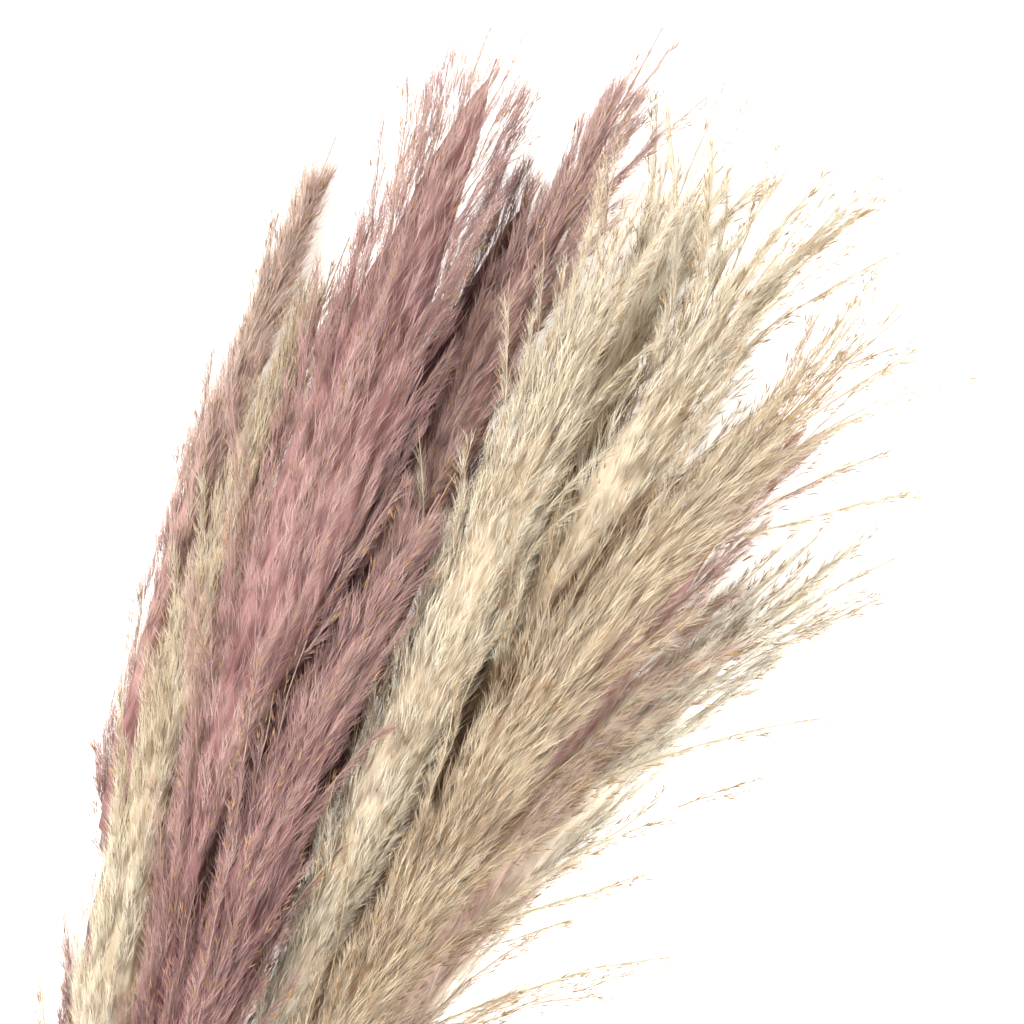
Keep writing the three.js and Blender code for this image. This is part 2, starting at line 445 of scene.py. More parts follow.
def painted_root_shade_group():
    """A shader group that paints shade on a strand: darker towards its root, where the hairs round
    it would shadow it.
    """
    group = bpy.data.node_groups.new("root_shade", "ShaderNodeTree")
    group.interface.new_socket("Colour", in_out="INPUT", socket_type="NodeSocketColor")
    group.interface.new_socket("Height", in_out="INPUT", socket_type="NodeSocketFloat")
    group.interface.new_socket("Colour", in_out="OUTPUT", socket_type="NodeSocketColor")
    given = group.nodes.new("NodeGroupInput")
    result = group.nodes.new("NodeGroupOutput")
    shades = group.nodes.new("ShaderNodeValToRGB")
    shades.color_ramp.elements[0].color = (0.78, 0.72, 0.72, 1)
    shades.color_ramp.elements[1].color = (1, 1, 1, 1)
    shades.color_ramp.elements[1].position = 0.55
    product = group.nodes.new("ShaderNodeMix")
    product.data_type = "RGBA"
    product.blend_type = "MULTIPLY"
    product.inputs["Factor"].default_value = 1
    group.links.new(given.outputs["Height"], shades.inputs["Fac"])
    group.links.new(given.outputs["Colour"], product.inputs[6])
    group.links.new(shades.outputs["Color"], product.inputs[7])
    group.links.new(product.outputs[2], result.inputs["Colour"])
    return group


def plume_material(name, tones, root_shade):
    """Hair, husk and branch in one finish: tone runs across the map, and height up it, which paints
    shade towards the roots.
    """
    material, nodes, surface = shader(name, 0.6, Specular_IOR_Level=0.25, Sheen_Weight=0.3,
                                      Sheen_Roughness=0.4)
    spot = nodes.nodes.new("ShaderNodeUVMap")
    spot.uv_map = "OFBake"
    split = nodes.nodes.new("ShaderNodeSeparateXYZ")
    colours = ramp(nodes, tones)
    shaded = nodes.nodes.new("ShaderNodeGroup")
    shaded.node_tree = root_shade
    link = nodes.links.new
    link(spot.outputs["UV"], split.inputs["Vector"])
    link(split.outputs["X"], colours.inputs["Fac"])
    link(colours.outputs["Color"], shaded.inputs["Colour"])
    link(split.outputs["Y"], shaded.inputs["Height"])
    link(shaded.outputs["Colour"], surface.inputs["Base Color"])
    return material


def plume_tree():
    """Branches round the rachis, filled out to the wall of the plume's solid, with their hair."""
    tree = Tree("plume")
    rachis = tree.inputs.outputs[0]
    solid = tree.ask("Solid", "Object")
    above = tree.ask("Above", "Object")
    tufts = tree.ask("Tufts", "Collection")
    husks = tree.ask("Husks", "Collection")
    mats = tree.ask("Mats", "Collection")
    foot = tree.ask("Foot")
    length = tree.ask("Length")
    branches = tree.ask("Branches", "Int")
    low_branch = tree.ask("Lowest Branch")
    top_branch = tree.ask("Highest Branch")
    foot_fullness = tree.ask("Foot Fullness")
    fullness = tree.ask("Fullness")
    full_until = tree.ask("Full Until")
    flare = tree.ask("Flare")
    sweep = tree.ask("Sweep", "Vector")
    bareness = tree.ask("Bareness")
    coat = tree.ask("Mats Per Branch")
    hair_step = tree.ask("Hair Step")
    hidden_share = tree.ask("Hidden Share")
    under_shade = tree.ask("Shade Where Covered")
    husk_rise = tree.ask("Husk Rise")
    husk_share = tree.ask("Husk Share")
    tone_foot = tree.ask("Tone At Foot")
    tone_tip = tree.ask("Tone At Tip")
    seed = tree.ask("Seed", "Int")
    material = tree.ask("Material", "Material")
    add, math_, vector, scaled = tree.add, tree.math, tree.vector, tree.scaled

    def random(low, high, salt, key=None):
        return tree.chance(low, high, math_("ADD", seed, float(salt)), key)

    smooth = add("GeometryNodeCurveSplineType", rachis, spline_type="CATMULL_ROM")
    axis = add("GeometryNodeResampleCurve", named={"Curve": smooth, "Length": AXIS_STEP},
               mode="LENGTH")
    whole_axis = add("GeometryNodeCurveLength", axis)
    cover = add("GeometryNodeObjectInfo", named={"Object": above}, transform_space="ORIGINAL",
                out="Geometry")
    wall = add("GeometryNodeObjectInfo", named={"Object": solid}, transform_space="ORIGINAL",
               out="Geometry")

    def on_axis(distance):
        """The spot at a distance along the axis, which runs on straight past its end."""
        sample = {"Curves": axis, "Length": distance}
        spot = add("GeometryNodeSampleCurve", named=sample, mode="LENGTH", out="Position")
        along = add("GeometryNodeSampleCurve", named=sample, mode="LENGTH", out="Tangent")
        beyond = math_("MAXIMUM", math_("SUBTRACT", distance, whole_axis), 0.0)
        return vector("ADD", spot, scaled(along, beyond)), along

    def at(distance, turn, share):
        """The spot on the axis, the way out from it, and the room up to the solid's wall."""
        last = math_("ADD", foot, math_("MULTIPLY", full_until, length))
        spot, along = on_axis(distance)
        base, forward = on_axis(math_("MINIMUM", distance, last))
        side = vector("NORMALIZE", vector("CROSS_PRODUCT", forward, (0, 0, 1)))
        up = vector("CROSS_PRODUCT", side, forward)
        out = vector("ADD", scaled(side, math_("COSINE", turn)), scaled(up, math_("SINE", turn)))
        start = tree.blend(share, *ROOT_OUT)
        ray = {"Target Geometry": wall, "Source Position": vector("ADD", base, scaled(out, start)),
               "Ray Direction": out, "Ray Length": MOST_ROOM}
        node = "GeometryNodeRaycast"
        hit = add(node, named=ray, out="Is Hit")
        gone = add(node, named=ray, out="Hit Distance")
        reach = math_("ADD", tree.switch(hit, 0.0, gone), start)
        room = math_("MAXIMUM", math_("SUBTRACT", reach, HAIR_STANDS_OUT), LEAST_ROOM)
        grade = add("ShaderNodeClamp", math_("MULTIPLY", share, 1.8))
        room = math_("MULTIPLY", room, tree.blend(grade, foot_fullness, fullness))
        return spot, along, out, room

    index = add("GeometryNodeInputIndex")
    count = math_("MULTIPLY", branches, float(BRANCH_POINTS))
    dots = add("GeometryNodePoints", named={"Count": count})
    branch = math_("FLOOR", math_("DIVIDE", math_("ADD", index, 0.5), float(BRANCH_POINTS)))
    step = math_("SUBTRACT", index, math_("MULTIPLY", branch, float(BRANCH_POINTS)))
    height = math_("DIVIDE", step, BRANCH_POINTS - 1.0)

    def luck(low, high, salt):
        """A random number for each branch."""
        return random(low, high, salt, branch)

    start = math_("DIVIDE", math_("ADD", branch, luck(0.0, 1.0, 1)), branches)
    start = math_("MULTIPLY", start, BRANCH_STARTS_UNTIL)
    turn = math_("ADD", math_("MULTIPLY", branch, GOLDEN_TURN), luck(-0.6, 0.6, 2))
    long = math_("MULTIPLY", tree.blend(start, low_branch, top_branch), luck(0.72, 1.18, 3))
    left = math_("MULTIPLY", math_("SUBTRACT", luck(0.93, 1.03, 4), start), length)
    long = math_("MINIMUM", long, left)
    going = math_("ADD", math_("MULTIPLY", start, length), math_("MULTIPLY", long, height))
    share = math_("DIVIDE", going, length)
    spot, along, out, room = at(math_("ADD", foot, going), turn, share)
    fill = math_("POWER", luck(0.3, 1.0, 5), 0.5)
    depth = math_("MULTIPLY", fill, math_("POWER", height, 0.55))
    drift = math_("MULTIPLY", room, depth)
    parting = math_("MULTIPLY", math_("POWER", height, 2.0), long)
    loose = math_("MULTIPLY", math_("POWER", luck(0.0, 1.0, 6), 1.4), parting)
    swept = math_("MULTIPLY", luck(0.0, 1.0, 7), parting)
    level_out = vector("MULTIPLY", out, (1.0, 1.0, 0.2))
    place = vector("ADD", spot, scaled(out, drift))
    place = vector("ADD", place, scaled(level_out, math_("MULTIPLY", loose, flare)))
    place = vector("ADD", place, scaled(sweep, swept))
    wave = add("ShaderNodeTexNoise", named={"Vector": place, "Scale": WAVE_SCALE}, out="Color")
    wave = vector("SUBTRACT", wave, (0.5, 0.5, 0.5))
    place = vector("ADD", place, scaled(wave, math_("MULTIPLY", height, WAVE_SIZE)))
    set_dots = add("GeometryNodeSetPosition", named={"Geometry": dots, "Position": place})
    # A random tint for each branch, plus painted shade on the branches that end deep inside the
    # plume.
    tint = math_("ADD", luck(-0.08, 0.08, 8), math_("MULTIPLY", math_("SUBTRACT", fill, 0.85), 0.2))
    tinted = tree.store(tree.store(set_dots, "tint", tint), "depth", depth)
    lines = add("GeometryNodePointsToCurves",
                named={"Points": tinted, "Curve Group ID": branch, "Weight": height})

    def toned(geometry, low, high, value):
        """Marks each element with its tone, kept inside one band of the map."""
        return tree.store(geometry, "tone", tree.blend(add("ShaderNodeClamp", value), low, high))

    def tone_at(share, spread, salt):
        """The tone at a share of the plume's length, in soft patches and with some chance."""
        patch = add("ShaderNodeTexNoise", named={"Scale": PATCH_SCALE, "Detail": 2.0}, out="Fac")
        even = tree.blend(share, tone_foot, tone_tip)
        patchy = math_("MULTIPLY_ADD", math_("SUBTRACT", patch, 0.5), PATCH_STRENGTH, even)
        return math_("ADD", patchy, random(-spread, spread, salt))

    def facing(way, salt):
        """A turn that points a small shape along a way, spun at random about it."""
        aimed = add("FunctionNodeAlignRotationToVector", named={"Vector": way}, axis="Z")
        angle = random(0.0, 2 * math.pi, salt)
        spin = add("FunctionNodeAxisAngleToRotation", named={"Axis": (0, 0, 1), "Angle": angle})
        return add("FunctionNodeRotateRotation", aimed, spin, rotation_space="LOCAL")

    def scatter(geometry, shapes, way, size, salt, chosen):
        """Small shapes on the chosen points, each one pointing along the way."""
        pick = random(0.0, 50.0, salt)
        source = add("GeometryNodeCollectionInfo",
                     named={"Collection": shapes, "Separate Children": True,
                            "Reset Children": True})
        return add("GeometryNodeInstanceOnPoints",
                   named={"Points": geometry, "Selection": chosen, "Instance": source,
                          "Pick Instance": True, "Instance Index": math_("FLOOR", pick),
                          "Rotation": facing(way, salt + 1), "Scale": size})

    # Hair and husks along the branches.
    rows = add("GeometryNodeResampleCurve", named={"Curve": lines, "Length": hair_step},
               mode="LENGTH")
    up_branch = add("GeometryNodeSplineParameter", out="Factor")
    ahead = add("GeometryNodeInputTangent")
    axis_mesh = add("GeometryNodeCurveToMesh", named={"Curve": axis})
    nearest = add("GeometryNodeProximity", named={"Geometry": axis_mesh}, out="Position",
                  target_element="EDGES")
    here = add("GeometryNodeInputPosition")
    away = vector("NORMALIZE", vector("SUBTRACT", here, nearest))
    hair_way = vector("ADD", ahead, scaled(away, HAIR_LEAN))
    husk_way = vector("ADD", ahead, scaled(away, HUSK_LEAN))
    # The share of the plume's length that a spot has reached, from its distance to the foot.
    start_spot = add("GeometryNodeSampleCurve", named={"Curves": axis, "Length": foot},
                     mode="LENGTH", out="Position")
    gone = vector("LENGTH", vector("SUBTRACT", here, start_spot))
    up_plume = math_("DIVIDE", gone, length)
    upwards = add("ShaderNodeSeparateXYZ", away, out="Z")
    under = tree.compare(upwards, "LESS_THAN", UNDERSIDE)
    covered = add("GeometryNodeRaycast",
                  named={"Target Geometry": cover, "Source Position": here,
                         "Ray Direction": (0, 0, 1), "Ray Length": COVER_REACH}, out="Is Hit")
    hidden = add("FunctionNodeBooleanMath", under, covered, operation="OR")
    wanted = tree.switch(hidden, 1.0, hidden_share)
    seen = tree.compare(random(0.0, 1.0, 19), "LESS_THAN", wanted)
    thin = math_("MULTIPLY", bareness, math_("POWER", up_branch, 2.0))
    kept = tree.both(tree.compare(random(0.0, 1.0, 20), "GREATER_THAN", thin), seen)
    outside = tree.compare(tree.stored("depth"), "GREATER_THAN", CORE_ABOVE - 0.15)
    kept = tree.both(kept, outside)
    size = random(0.75, 1.15, 21)
    size = math_("MULTIPLY", size, math_("SUBTRACT", 1.0, math_("MULTIPLY", thin, 0.35)))
    # Painted light and shade: hair facing up is painted paler, and hair under another plume is
    # painted darker.
    painted_light_and_shade = math_("SUBTRACT", math_("MULTIPLY", upwards, PAINTED_LIGHT_ON_TOP),
                math_("MULTIPLY", covered, under_shade))
    hair_tone = math_("ADD", math_("ADD", tone_at(up_plume, 0.08, 22), tree.stored("tint")), painted_light_and_shade)
    hair_rows = toned(rows, *HAIR_TONES, hair_tone)
    hair = scatter(hair_rows, tufts, hair_way, size, 30, kept)
    rise = math_("MULTIPLY", husk_rise, math_("SUBTRACT", 1.0, math_("MINIMUM", thin, 1.0)))
    raised = add("GeometryNodeSetPosition", named={"Geometry": rows, "Offset": scaled(away, rise)})
    husk_rows = toned(raised, *HUSK_TONES, random(0.0, 1.0, 23))
    rare = math_("MULTIPLY", husk_share, math_("MULTIPLY_ADD", up_branch, 1.2, 0.4))
    husked = tree.compare(random(0.0, 1.0, 24), "LESS_THAN", rare)
    husk = scatter(husk_rows, husks, husk_way, random(0.7, 1.35, 25), 40, husked)

    # The branches themselves, thin and three-sided.
    thickness = tree.blend(up_branch, *TWIG_RADII)
    marked = toned(lines, *BRANCH_TONES, random(0.0, 1.0, 26, branch))
    marked = tree.store(marked, "height", up_branch)
    ring = add("GeometryNodeCurvePrimitiveCircle", named={"Resolution": 3, "Radius": 1.0})
    ring = tree.store(ring, "around", up_branch)
    twigs = add("GeometryNodeCurveToMesh",
                named={"Curve": marked, "Profile Curve": ring, "Fill Caps": True,
                       "Scale": thickness})
    across = math_("MULTIPLY", tree.stored("around"), 0.006)
    mark = add("ShaderNodeCombineXYZ", across, tree.stored("height"), 0.0)
    twigs = tree.store(twigs, "strand", mark, "FLOAT2", "CORNER")

    def core_size(share):
        grade = add("ShaderNodeClamp", math_("MULTIPLY", share, 1.7))
        return tree.blend(grade, CORE_AT_FOOT, CORE_ABOVE)

    # A coat of loose mats of hair lies on the core.
    deep = add("GeometryNodePoints", named={"Count": math_("MULTIPLY", branches, coat)})
    coat_end = math_("SUBTRACT", COAT_END, math_("MULTIPLY", bareness, 0.28))
    far = math_("MULTIPLY", random(0.0, 1.0, 50), coat_end)
    spot, along, out, room = at(math_("ADD", foot, math_("MULTIPLY", far, length)),
                                random(0.0, 2 * math.pi, 51), far)
    inner = math_("MULTIPLY", room, math_("ADD", core_size(far), random(-0.04, 0.26, 52)))
    deep = add("GeometryNodeSetPosition",
               named={"Geometry": deep, "Position": vector("ADD", spot, scaled(out, inner))})
    lie = vector("ADD", along, scaled(out, MAT_LEAN))
    deep = tree.store(deep, "way", lie, "FLOAT_VECTOR")
    # Mats lie deep in the plume, so their tone is painted a little darker, as painted shade.
    mat_tone = math_("ADD", tone_at(far, 0.09, 53), math_("SUBTRACT", painted_light_and_shade, 0.03))
    deep = toned(deep, *HAIR_TONES, mat_tone)
    lock = add("ShaderNodeTexNoise", named={"Scale": LOCK_SCALE, "Detail": 1.0}, out="Color")
    lock = scaled(vector("SUBTRACT", lock, (0.5, 0.5, 0.5)), LOCK_TURN)
    mat_way = vector("ADD", tree.stored("way", "FLOAT_VECTOR"), lock)
    mat = scatter(deep, mats, mat_way, random(0.6, 1.2, 54), 60, seen)

    # The core: hair so matted that it can't be seen through, with grooves between its locks. It is
    # painted darker than the hair, as painted shade, and darker again in its grooves.
    tube = add("GeometryNodeMeshCylinder",
               named={"Vertices": CORE_SIDES, "Side Segments": CORE_RINGS, "Radius": 1.0,
                      "Depth": 1.0})
    round_x = add("ShaderNodeSeparateXYZ", here, out="X")
    round_y = add("ShaderNodeSeparateXYZ", here, out="Y")
    far = math_("ADD", add("ShaderNodeSeparateXYZ", here, out="Z"), 0.5)
    spot, along, out, room = at(math_("ADD", foot, math_("MULTIPLY", far, length)),
                                math_("ARCTAN2", round_y, round_x), far)
    streaks = add("ShaderNodeCombineXYZ", math_("MULTIPLY", round_x, 8.0),
                  math_("MULTIPLY", round_y, 8.0), math_("MULTIPLY", far, 15.0))
    relief = add("ShaderNodeTexNoise",
                 named={"Vector": vector("ADD", streaks, scaled((1.0, 1.0, 1.0), seed)),
                        "Scale": 1.0, "Detail": 3.0}, out="Fac")
    relief = math_("MULTIPLY", math_("SUBTRACT", relief, 0.5), CORE_RELIEF)
    closing = math_("MINIMUM", math_("DIVIDE", far, 0.04),
                    math_("DIVIDE", math_("SUBTRACT", coat_end, far), 0.22))
    closing = math_("POWER", add("ShaderNodeClamp", closing), 0.5)
    filled = math_("ADD", relief, core_size(far))
    thick = math_("MULTIPLY", math_("MULTIPLY", room, closing), filled)
    thick = math_("MAXIMUM", thick, CORE_LEAST)
    # The core sits low on the map's height, so the painted root shade darkens it, most of all in
    # its grooves.
    mark = add("ShaderNodeCombineXYZ", 0.0, math_("ADD", relief, 0.24), 0.0)
    core = tree.store(tube, "strand", mark, "FLOAT2", "CORNER")
    core = tree.store(tree.store(core, "lock", relief), "share", far)
    core = add("GeometryNodeSetPosition",
               named={"Geometry": core, "Position": vector("ADD", spot, scaled(out, thick))})
    # Painted shade: the core's tone drops where its relief is low, and all over by the core's share
    # of shade.
    core_tone = math_("MULTIPLY_ADD", tree.stored("lock"), 1.2,
                      tone_at(tree.stored("share"), 0.05, 70))
    core = toned(core, *HAIR_TONES, math_("ADD", core_tone, math_("SUBTRACT", painted_light_and_shade, CORE_PAINTED_SHADE)))
    core = add("GeometryNodeSwitch",
               named={"Switch": tree.compare(coat, "GREATER_THAN", 0.0), "True": core},
               input_type="GEOMETRY")

    # Everything, kept above the surface and mapped by tone and height.
    whole = add("GeometryNodeRealizeInstances", tree.join(hair, husk, mat, twigs, core))
    level = add("ShaderNodeSeparateXYZ", here, out="Z")
    below = math_("DIVIDE", math_("SUBTRACT", level, SOFT_REST), SOFT_REST)
    sunk = math_("MULTIPLY", math_("EXPONENT", below), SOFT_REST)
    rested = tree.switch(tree.compare(level, "LESS_THAN", SOFT_REST), level, sunk)
    lift = add("ShaderNodeCombineXYZ", 0.0, 0.0, math_("SUBTRACT", rested, level))
    whole = add("GeometryNodeSetPosition", named={"Geometry": whole, "Offset": lift})
    strand = tree.stored("strand", "FLOAT_VECTOR")
    across = add("ShaderNodeSeparateXYZ", strand, out="X")
    upward = add("ShaderNodeSeparateXYZ", strand, out="Y")
    mapped = add("ShaderNodeCombineXYZ", math_("ADD", tree.stored("tone"), across),
                 math_("MULTIPLY_ADD", upward, 0.96, 0.02), 0.0)
    tree.finish(tree.store(whole, "OFBake", mapped, "FLOAT2", "CORNER"), material)
    return tree


# What sets each plume apart: finish, tone at its foot and at its tip, how full it is at its
# foot and above, its lowest and highest branches in mm, how far they flare, the way they
# sweep, how bare their ends are, how many husks they carry and the step between tufts in mm.
PLUMES = {
    "rose_edge": ("rose", 0.22, 0.78, 2.0, 1.6, 120, 60, 0.08, (-0.06, 0, 0), 0.10, 0.26, 1.4),
    "rose_tall": ("rose", 0.34, 0.38, 0.6, 1.2, 125, 95, 0.15, (-0.03, 0, 0), 0.00, 0.24, 3.6),
    "rose_back": ("rose", 0.18, 0.26, 1.0, 1.7, 110, 80, 0.20, (0.02, 0, 0), 0.00, 0.10, 1.4),
    "rose_crest": ("rose", 0.24, 0.52, 1.0, 1.1, 120, 80, 0.22, (0.07, 0, 0), 0.15, 0.30, 2.0),
    "rose_front": ("rose", -0.04, 0.48, 1.25, 1.0, 120, 70, 0.20, (0.00, 0, 0), 0.15, 0.34, 2.2),
    "rose_right": ("rose", 1.35, 0.42, 1.0, 1.1, 120, 90, 0.26, (0.06, 0, 0), 0.20, 0.30, 2.2),
    "straw_left": ("straw", 1.00, 0.10, 1.2, 1.0, 120, 60, 0.12, (0.00, 0, 0), 0.15, 0.20, 2.2),
    "cream_front": ("cream", 0.72, 0.50, 1.3, 1.1, 120, 100, 0.34, (0.03, 0, 0), 0.30, 0.26, 2.9),
    "cream_tall": ("cream", 0.60, 0.72, 1.0, 1.3, 125, 130, 0.46, (0.10, 0, 0), 0.30, 0.26, 1.6),
    "cream_crest": ("cream", 0.56, 0.58, 1.0, 1.4, 125, 140, 0.56, (0.15, 0, 0), 0.32, 0.32, 1.5),
    "cream_right": ("cream", 0.10, 0.34, 1.0, 1.0, 125, 130, 0.24, (-0.07, 0, 0), 0.50, 0.34, 2.9),
    "cream_low": ("cream", 0.90, 0.96, 1.0, 1.2, 140, 110, 0.04, (-0.07, 0, 0), 0.45, 0.36, 1.8),
}

# Plumes whose hair runs on past the end of the rachis, and by how much.
LONGER = {"rose_crest": 1.055, "rose_edge": 1.04, "cream_crest": 1.02, "cream_low": 0.97}
# The low plumes get less painted shade where they lie under the others, so they stay pale.
PAINTED_SHADE_WHERE_COVERED = {"cream_low": 0.0, "rose_right": 0.05, "rose_edge": 0.1, "straw_left": 0.3}
# Thin plumes with a thick coat on their core: mats for each branch.
THICK_COATS = {"rose_edge": 36, "straw_left": 24}
# The share of hidden hair kept on plumes that show through gaps in the ones on top of them.
SEEN_THROUGH_GAPS = {"cream_tall": 0.32, "rose_back": 0.5, "rose_right": 0.36, "rose_edge": 0.5,
                     "straw_left": 0.3, "cream_low": 0.5}


def joined_solids(name, nodes):
    """One object with the solids of several CAD nodes."""
    corners, faces = [], []
    for node in nodes:
        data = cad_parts[node].data
        first = len(corners)
        corners += [tuple(v.co) for v in data.vertices]
        faces += [[first + v for v in polygon.vertices] for polygon in data.polygons]
    mesh = bpy.data.meshes.new(name)
    mesh.from_pydata(corners, [], faces)
    made = bpy.data.objects.new(name, mesh)
    bpy.context.scene.collection.objects.link(made)
    return made


def plume_values(slot, number, husk_share, hair_step):
    """The tree's inputs that plumes and stray branches share."""
    return {
        "Tufts": tuft_kinds,
        "Husks": husk_kinds,
        "Mats": mat_kinds,
        "Full Until": FULL_UNTIL,
        "Hair Step": hair_step,
        "Hidden Share": HIDDEN_SHARE,
        "Shade Where Covered": COVERED_SHADE,
        "Husk Rise": HUSK_RISE,
        "Husk Share": husk_share,
        "Seed": 1000 * number,
        "Material": finishes[slot],
    }


plume_growth = plume_tree()
tuft_kinds = kinds("tufts", [
    cone_mesh(f"tuft_{n}", 100 + n, HAIRS_IN_TUFT, HAIR_LENGTH, HAIR_WIDTH, HAIR_ANGLES)
    for n in range(TUFT_KINDS)
])
mat_kinds = kinds("mats", [
    cone_mesh(f"mat_{n}", 300 + n, HAIRS_IN_MAT, MAT_LENGTH, MAT_WIDTH, MAT_ANGLES)
    for n in range(MAT_KINDS)
])
husk_kinds = kinds("husks", [husk_mesh(n) for n in range(HUSK_KINDS)])
root_shade = painted_root_shade_group()
finishes = {
    "rose": plume_material("rose_hair", ROSE_TONES, root_shade),
    "cream": plume_material("cream_hair", CREAM_TONES, root_shade),
}
finishes["straw"] = finishes["cream"]
for number, name in enumerate(STEM_NAMES):
    slot, tone_foot, tone_tip, foot_fullness, fullness, low_branch, top_branch = PLUMES[name][:7]
    flare, sweep, bareness, husk_share, step = PLUMES[name][7:]
    centres, radii = stem_line(name)
    corners = corners_of(f"plume_{name}")
    tip = corners[corners[:, 1].argmax()]
    centres.append(tip)
    radii.append(radii[-1])
    steps = np.linalg.norm(np.diff(centres, axis=0), axis=1)
    marks = np.concatenate([[0], np.cumsum(steps)])
    heights = [c[1] for c in centres]
    foot = float(np.interp(corners[:, 1].min(), heights, marks))
    length = float(marks[-1]) - foot
    low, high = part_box(f"plume_{name}")
    width = (high.z - low.z) / PLUME_FLATNESS
    rachis = path_object(f"rachis_{name}", centres, radii)
    others = [f"plume_{other}" for other in STEM_NAMES if other != name]
    above = joined_solids(f"above_{name}", others)
    values = plume_values(slot, number, husk_share, step * MM)
    plume = grown(f"hair_{name}", rachis, plume_growth, values | {
        "Solid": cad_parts[f"plume_{name}"],
        "Above": above,
        "Foot": foot,
        "Length": length * LONGER.get(name, 1.0),
        "Mats Per Branch": THICK_COATS.get(name, MATS_PER_BRANCH),
        "Shade Where Covered": PAINTED_SHADE_WHERE_COVERED.get(name, COVERED_SHADE),
        "Hidden Share": SEEN_THROUGH_GAPS.get(name, HIDDEN_SHARE),
        "Branches": int(length * width / PLUME_AREA_PER_BRANCH),
        "Lowest Branch": low_branch * MM,
        "Highest Branch": top_branch * MM,
        "Foot Fullness": foot_fullness,
        "Fullness": fullness,
        "Flare": flare,
        "Sweep": sweep,
        "Bareness": bareness,
        "Tone At Foot": tone_foot,
        "Tone At Tip": tone_tip,
    })
    bpy.data.objects.remove(rachis)
    bpy.data.objects.remove(above)
    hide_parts(f"plume_{name}")
    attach(plume, "root")


# Stray branches. Two long side branches of the lowest cream plume have sprung free of it and
# lie on the surface beside it, nearly bare, with husks towards their ends.
STRAY_TUFT_STEP = 2.2 * MM
STRAY_POINTS = 8
STRAY_REST = 7 * MM
# Where each one leaves the rachis, as a share of the plume, and how far its tip lies to the
# side of that spot and ahead of it.
STRAYS = [(0.44, (104 * MM, 125 * MM)), (0.27, (100 * MM, 98 * MM))]
for number, (share, reach) in enumerate(STRAYS):
    centres = stem_line("cream_low")[0]
    heights = [c[1] for c in centres]
    across = [c[0] for c in centres]
    low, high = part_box("plume_cream_low")
    ahead = low.y + share * (high.y - low.y)
    start = np.array([np.interp(ahead, heights, across), ahead, 2 * STRAY_REST])
    points = []
    for share in np.linspace(0, 1, STRAY_POINTS):
        step = np.array([reach[0] * share ** 1.25, reach[1] * share ** 0.9, 0])
        points.append(start + step - np.array([0, 0, STRAY_REST * share]))
    path = path_object(f"path_{number}", points, [0.5 * MM] * STRAY_POINTS)
    length = float(np.linalg.norm(np.diff(points, axis=0), axis=1).sum())
    empty = joined_solids(f"empty_{number}", [])
    values = plume_values("cream", 50 + number, 1.4, STRAY_TUFT_STEP)
    stray = grown(f"stray_{number}", path, plume_growth, values | {
        "Solid": empty,
        "Above": empty,
        "Foot": 0.02 * length,
        "Length": 0.98 * length,
        "Mats Per Branch": 0,
        "Branches": 7,
        "Lowest Branch": 60 * MM,
        "Highest Branch": 16 * MM,
        "Foot Fullness": 1.0,
        "Fullness": 1.0,
        "Flare": 0.3,
        "Sweep": (0, 0, 0),
        "Bareness": 1.5,
        "Tone At Foot": 0.7,
        "Tone At Tip": 0.8,
    })
    bpy.data.objects.remove(path)
    bpy.data.objects.remove(empty)
    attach(stray, "root")


# Tie. Natural jute twine, two plies twisted together, is wound round the stems in touching
# turns, and its ends are tucked under them. Nothing else holds the bunch.
PLY_RADIUS = 0.62 * MM
TWIST_LENGTH = 5.5 * MM
TWINE_RADIUS = 1.15 * MM
tie_low, tie_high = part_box("tie")
tie = (tie_low + tie_high) / 2
tie_width = tie_high.y - tie_low.y


def twine_material():
    """Jute: brown fibres that follow the plies, dull and rough."""
    material, nodes, surface = shader("jute", 0.85, Specular_IOR_Level=0.2, Sheen_Weight=0.2)
    place = nodes.nodes.new("ShaderNodeTexCoord")
    fibres = nodes.nodes.new("ShaderNodeTexNoise")
    fibres.inputs["Scale"].default_value = 1900
    fibres.inputs["Detail"].default_value = 4
    brown = ramp(nodes, [(0.3, (0.16, 0.09, 0.04)), (0.55, (0.38, 0.24, 0.12)),
                         (0.75, (0.58, 0.42, 0.24))])
    bump = nodes.nodes.new("ShaderNodeBump")
    bump.inputs["Strength"].default_value = 0.6
    bump.inputs["Distance"].default_value = 0.2 * MM
    link = nodes.links.new
    link(place.outputs["Object"], fibres.inputs["Vector"])
    link(fibres.outputs["Fac"], brown.inputs["Fac"])
    link(brown.outputs["Color"], surface.inputs["Base Color"])
    link(fibres.outputs["Fac"], bump.inputs["Height"])
    link(bump.outputs["Normal"], surface.inputs["Normal"])
    return material


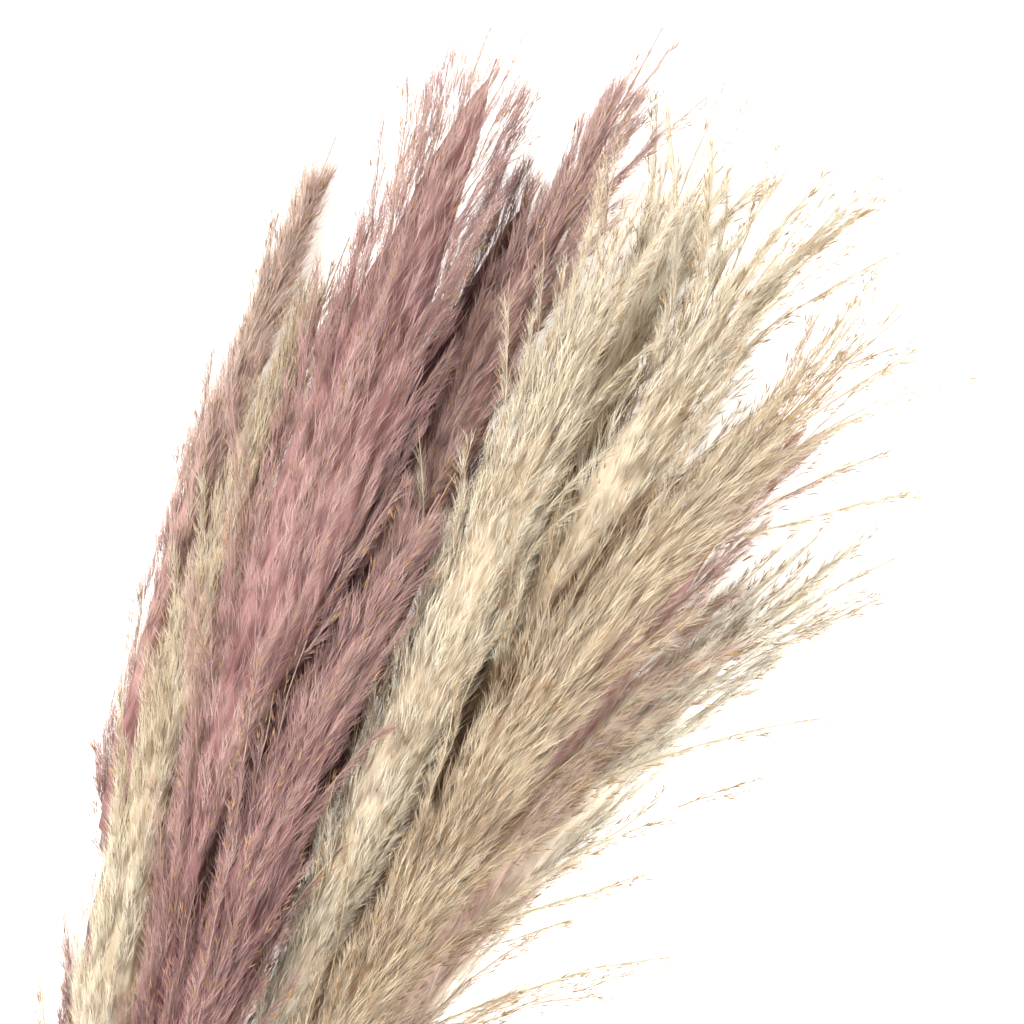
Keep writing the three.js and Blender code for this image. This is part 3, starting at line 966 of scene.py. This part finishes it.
def twine_tree():
    """Two plies twisted round the line of a coil of touching turns."""
    tree = Tree("twine")
    turns = tree.ask("Turns")
    radius = tree.ask("Coil Radius")
    width = tree.ask("Coil Width")
    centre = tree.ask("Coil Start", "Vector")
    ply = tree.ask("Ply Radius")
    twist = tree.ask("Twist Length")
    material = tree.ask("Material", "Material")
    coil = tree.add("GeometryNodeCurveSpiral",
                    named={"Resolution": 40, "Rotations": turns, "Start Radius": radius,
                           "End Radius": radius, "Height": width})
    coil = tree.add("GeometryNodeTransform",
                    named={"Geometry": coil, "Rotation": (-math.pi / 2, 0, 0),
                           "Translation": centre})
    line = tree.add("GeometryNodeResampleCurve", named={"Curve": coil, "Length": 0.8 * MM},
                    mode="LENGTH")
    distance = tree.add("GeometryNodeSplineParameter", out="Length")
    side = tree.add("GeometryNodeInputNormal")
    other = tree.vector("CROSS_PRODUCT", tree.add("GeometryNodeInputTangent"), side)
    ring = tree.add("GeometryNodeCurvePrimitiveCircle", named={"Resolution": 8, "Radius": 1.0})
    plies = []
    for phase in (0.0, math.pi):
        turn = tree.math("MULTIPLY_ADD", distance,
                         tree.math("DIVIDE", 2 * math.pi, twist), phase)
        out = tree.vector("ADD", tree.scaled(side, tree.math("COSINE", turn)),
                          tree.scaled(other, tree.math("SINE", turn)))
        moved = tree.add("GeometryNodeSetPosition",
                         named={"Geometry": line, "Offset": tree.scaled(out, tree.math(
                             "MULTIPLY", ply, 0.85))})
        plies.append(tree.add("GeometryNodeCurveToMesh",
                              named={"Curve": moved, "Profile Curve": ring, "Fill Caps": True,
                                     "Scale": ply}))
    tree.finish(tree.join(*plies), material)
    return tree


coil_width = tie_width - 2 * TWINE_RADIUS
start = joined_solids("coil", [])
twine = grown("twine", start, twine_tree(), {
    "Turns": round(coil_width / (2 * TWINE_RADIUS)),
    "Coil Radius": (tie_high.x - tie_low.x) / 2 - TWINE_RADIUS,
    "Coil Width": coil_width,
    "Coil Start": (tie.x, tie.y - coil_width / 2, tie.z),
    "Ply Radius": PLY_RADIUS,
    "Twist Length": TWIST_LENGTH,
    "Material": twine_material(),
})
bpy.data.objects.remove(start)
twine.data.shade_smooth()
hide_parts("tie")
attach(twine, "root")


# The surface, the light and the camera. The bunch lies on a plain white surface under a wide
# soft light, and the camera looks straight down on the fan of plumes.
VIEW_WIDTH = 0.41
VIEW_HEIGHT = 0.045
VIEW_TURN = math.radians(22)
VIEW_AIM = Vector((tie.x + 0.013, tie.y + 0.526, VIEW_HEIGHT))

floor_mesh = bpy.data.meshes.new("floor")
half = 4.0
floor_mesh.from_pydata([(-half, -half, 0), (half, -half, 0), (half, half, 0), (-half, half, 0)],
                       [], [(0, 1, 2, 3)])
floor = bpy.data.objects.new("floor", floor_mesh)
floor.location.z = -0.2 * MM
bpy.context.scene.collection.objects.link(floor)
paper, _, paper_surface = shader("paper", 0.9, Emission_Strength=0.7)
paper_surface.inputs["Base Color"].default_value = (0.9, 0.9, 0.89, 1)
paper_surface.inputs["Emission Color"].default_value = (1, 0.96, 0.89, 1)
floor_mesh.materials.append(paper)

world = bpy.data.worlds.new("studio")
bpy.context.scene.world = world
world.use_nodes = True
world.node_tree.nodes["Background"].inputs["Color"].default_value = (1, 0.97, 0.93, 1)
world.node_tree.nodes["Background"].inputs["Strength"].default_value = 0.66


def soft_light(name, place, size, power):
    """A square area light that faces the middle of the view."""
    data = bpy.data.lights.new(name, "AREA")
    data.size = size
    data.energy = power
    lamp = bpy.data.objects.new(name, data)
    lamp.location = place
    lamp.rotation_euler = (VIEW_AIM - lamp.location).to_track_quat("-Z", "Y").to_euler()
    bpy.context.scene.collection.objects.link(lamp)


soft_light("key", Vector((-1.5, 0.7, 1.5)), 1.1, 62)
soft_light("fill", Vector((1.4, -0.3, 1.2)), 1.2, 38)

camera_data = bpy.data.cameras.new("camera")
camera_data.lens = 90  # mm
camera_data.sensor_width = 36  # mm
camera = bpy.data.objects.new("camera", camera_data)
distance = VIEW_WIDTH * camera_data.lens / camera_data.sensor_width
camera.location = VIEW_AIM + Vector((0, 0, distance))
camera.rotation_euler = (0, 0, VIEW_TURN)
bpy.context.scene.collection.objects.link(camera)
bpy.context.scene.camera = camera
bpy.context.scene.view_settings.view_transform = "Standard"
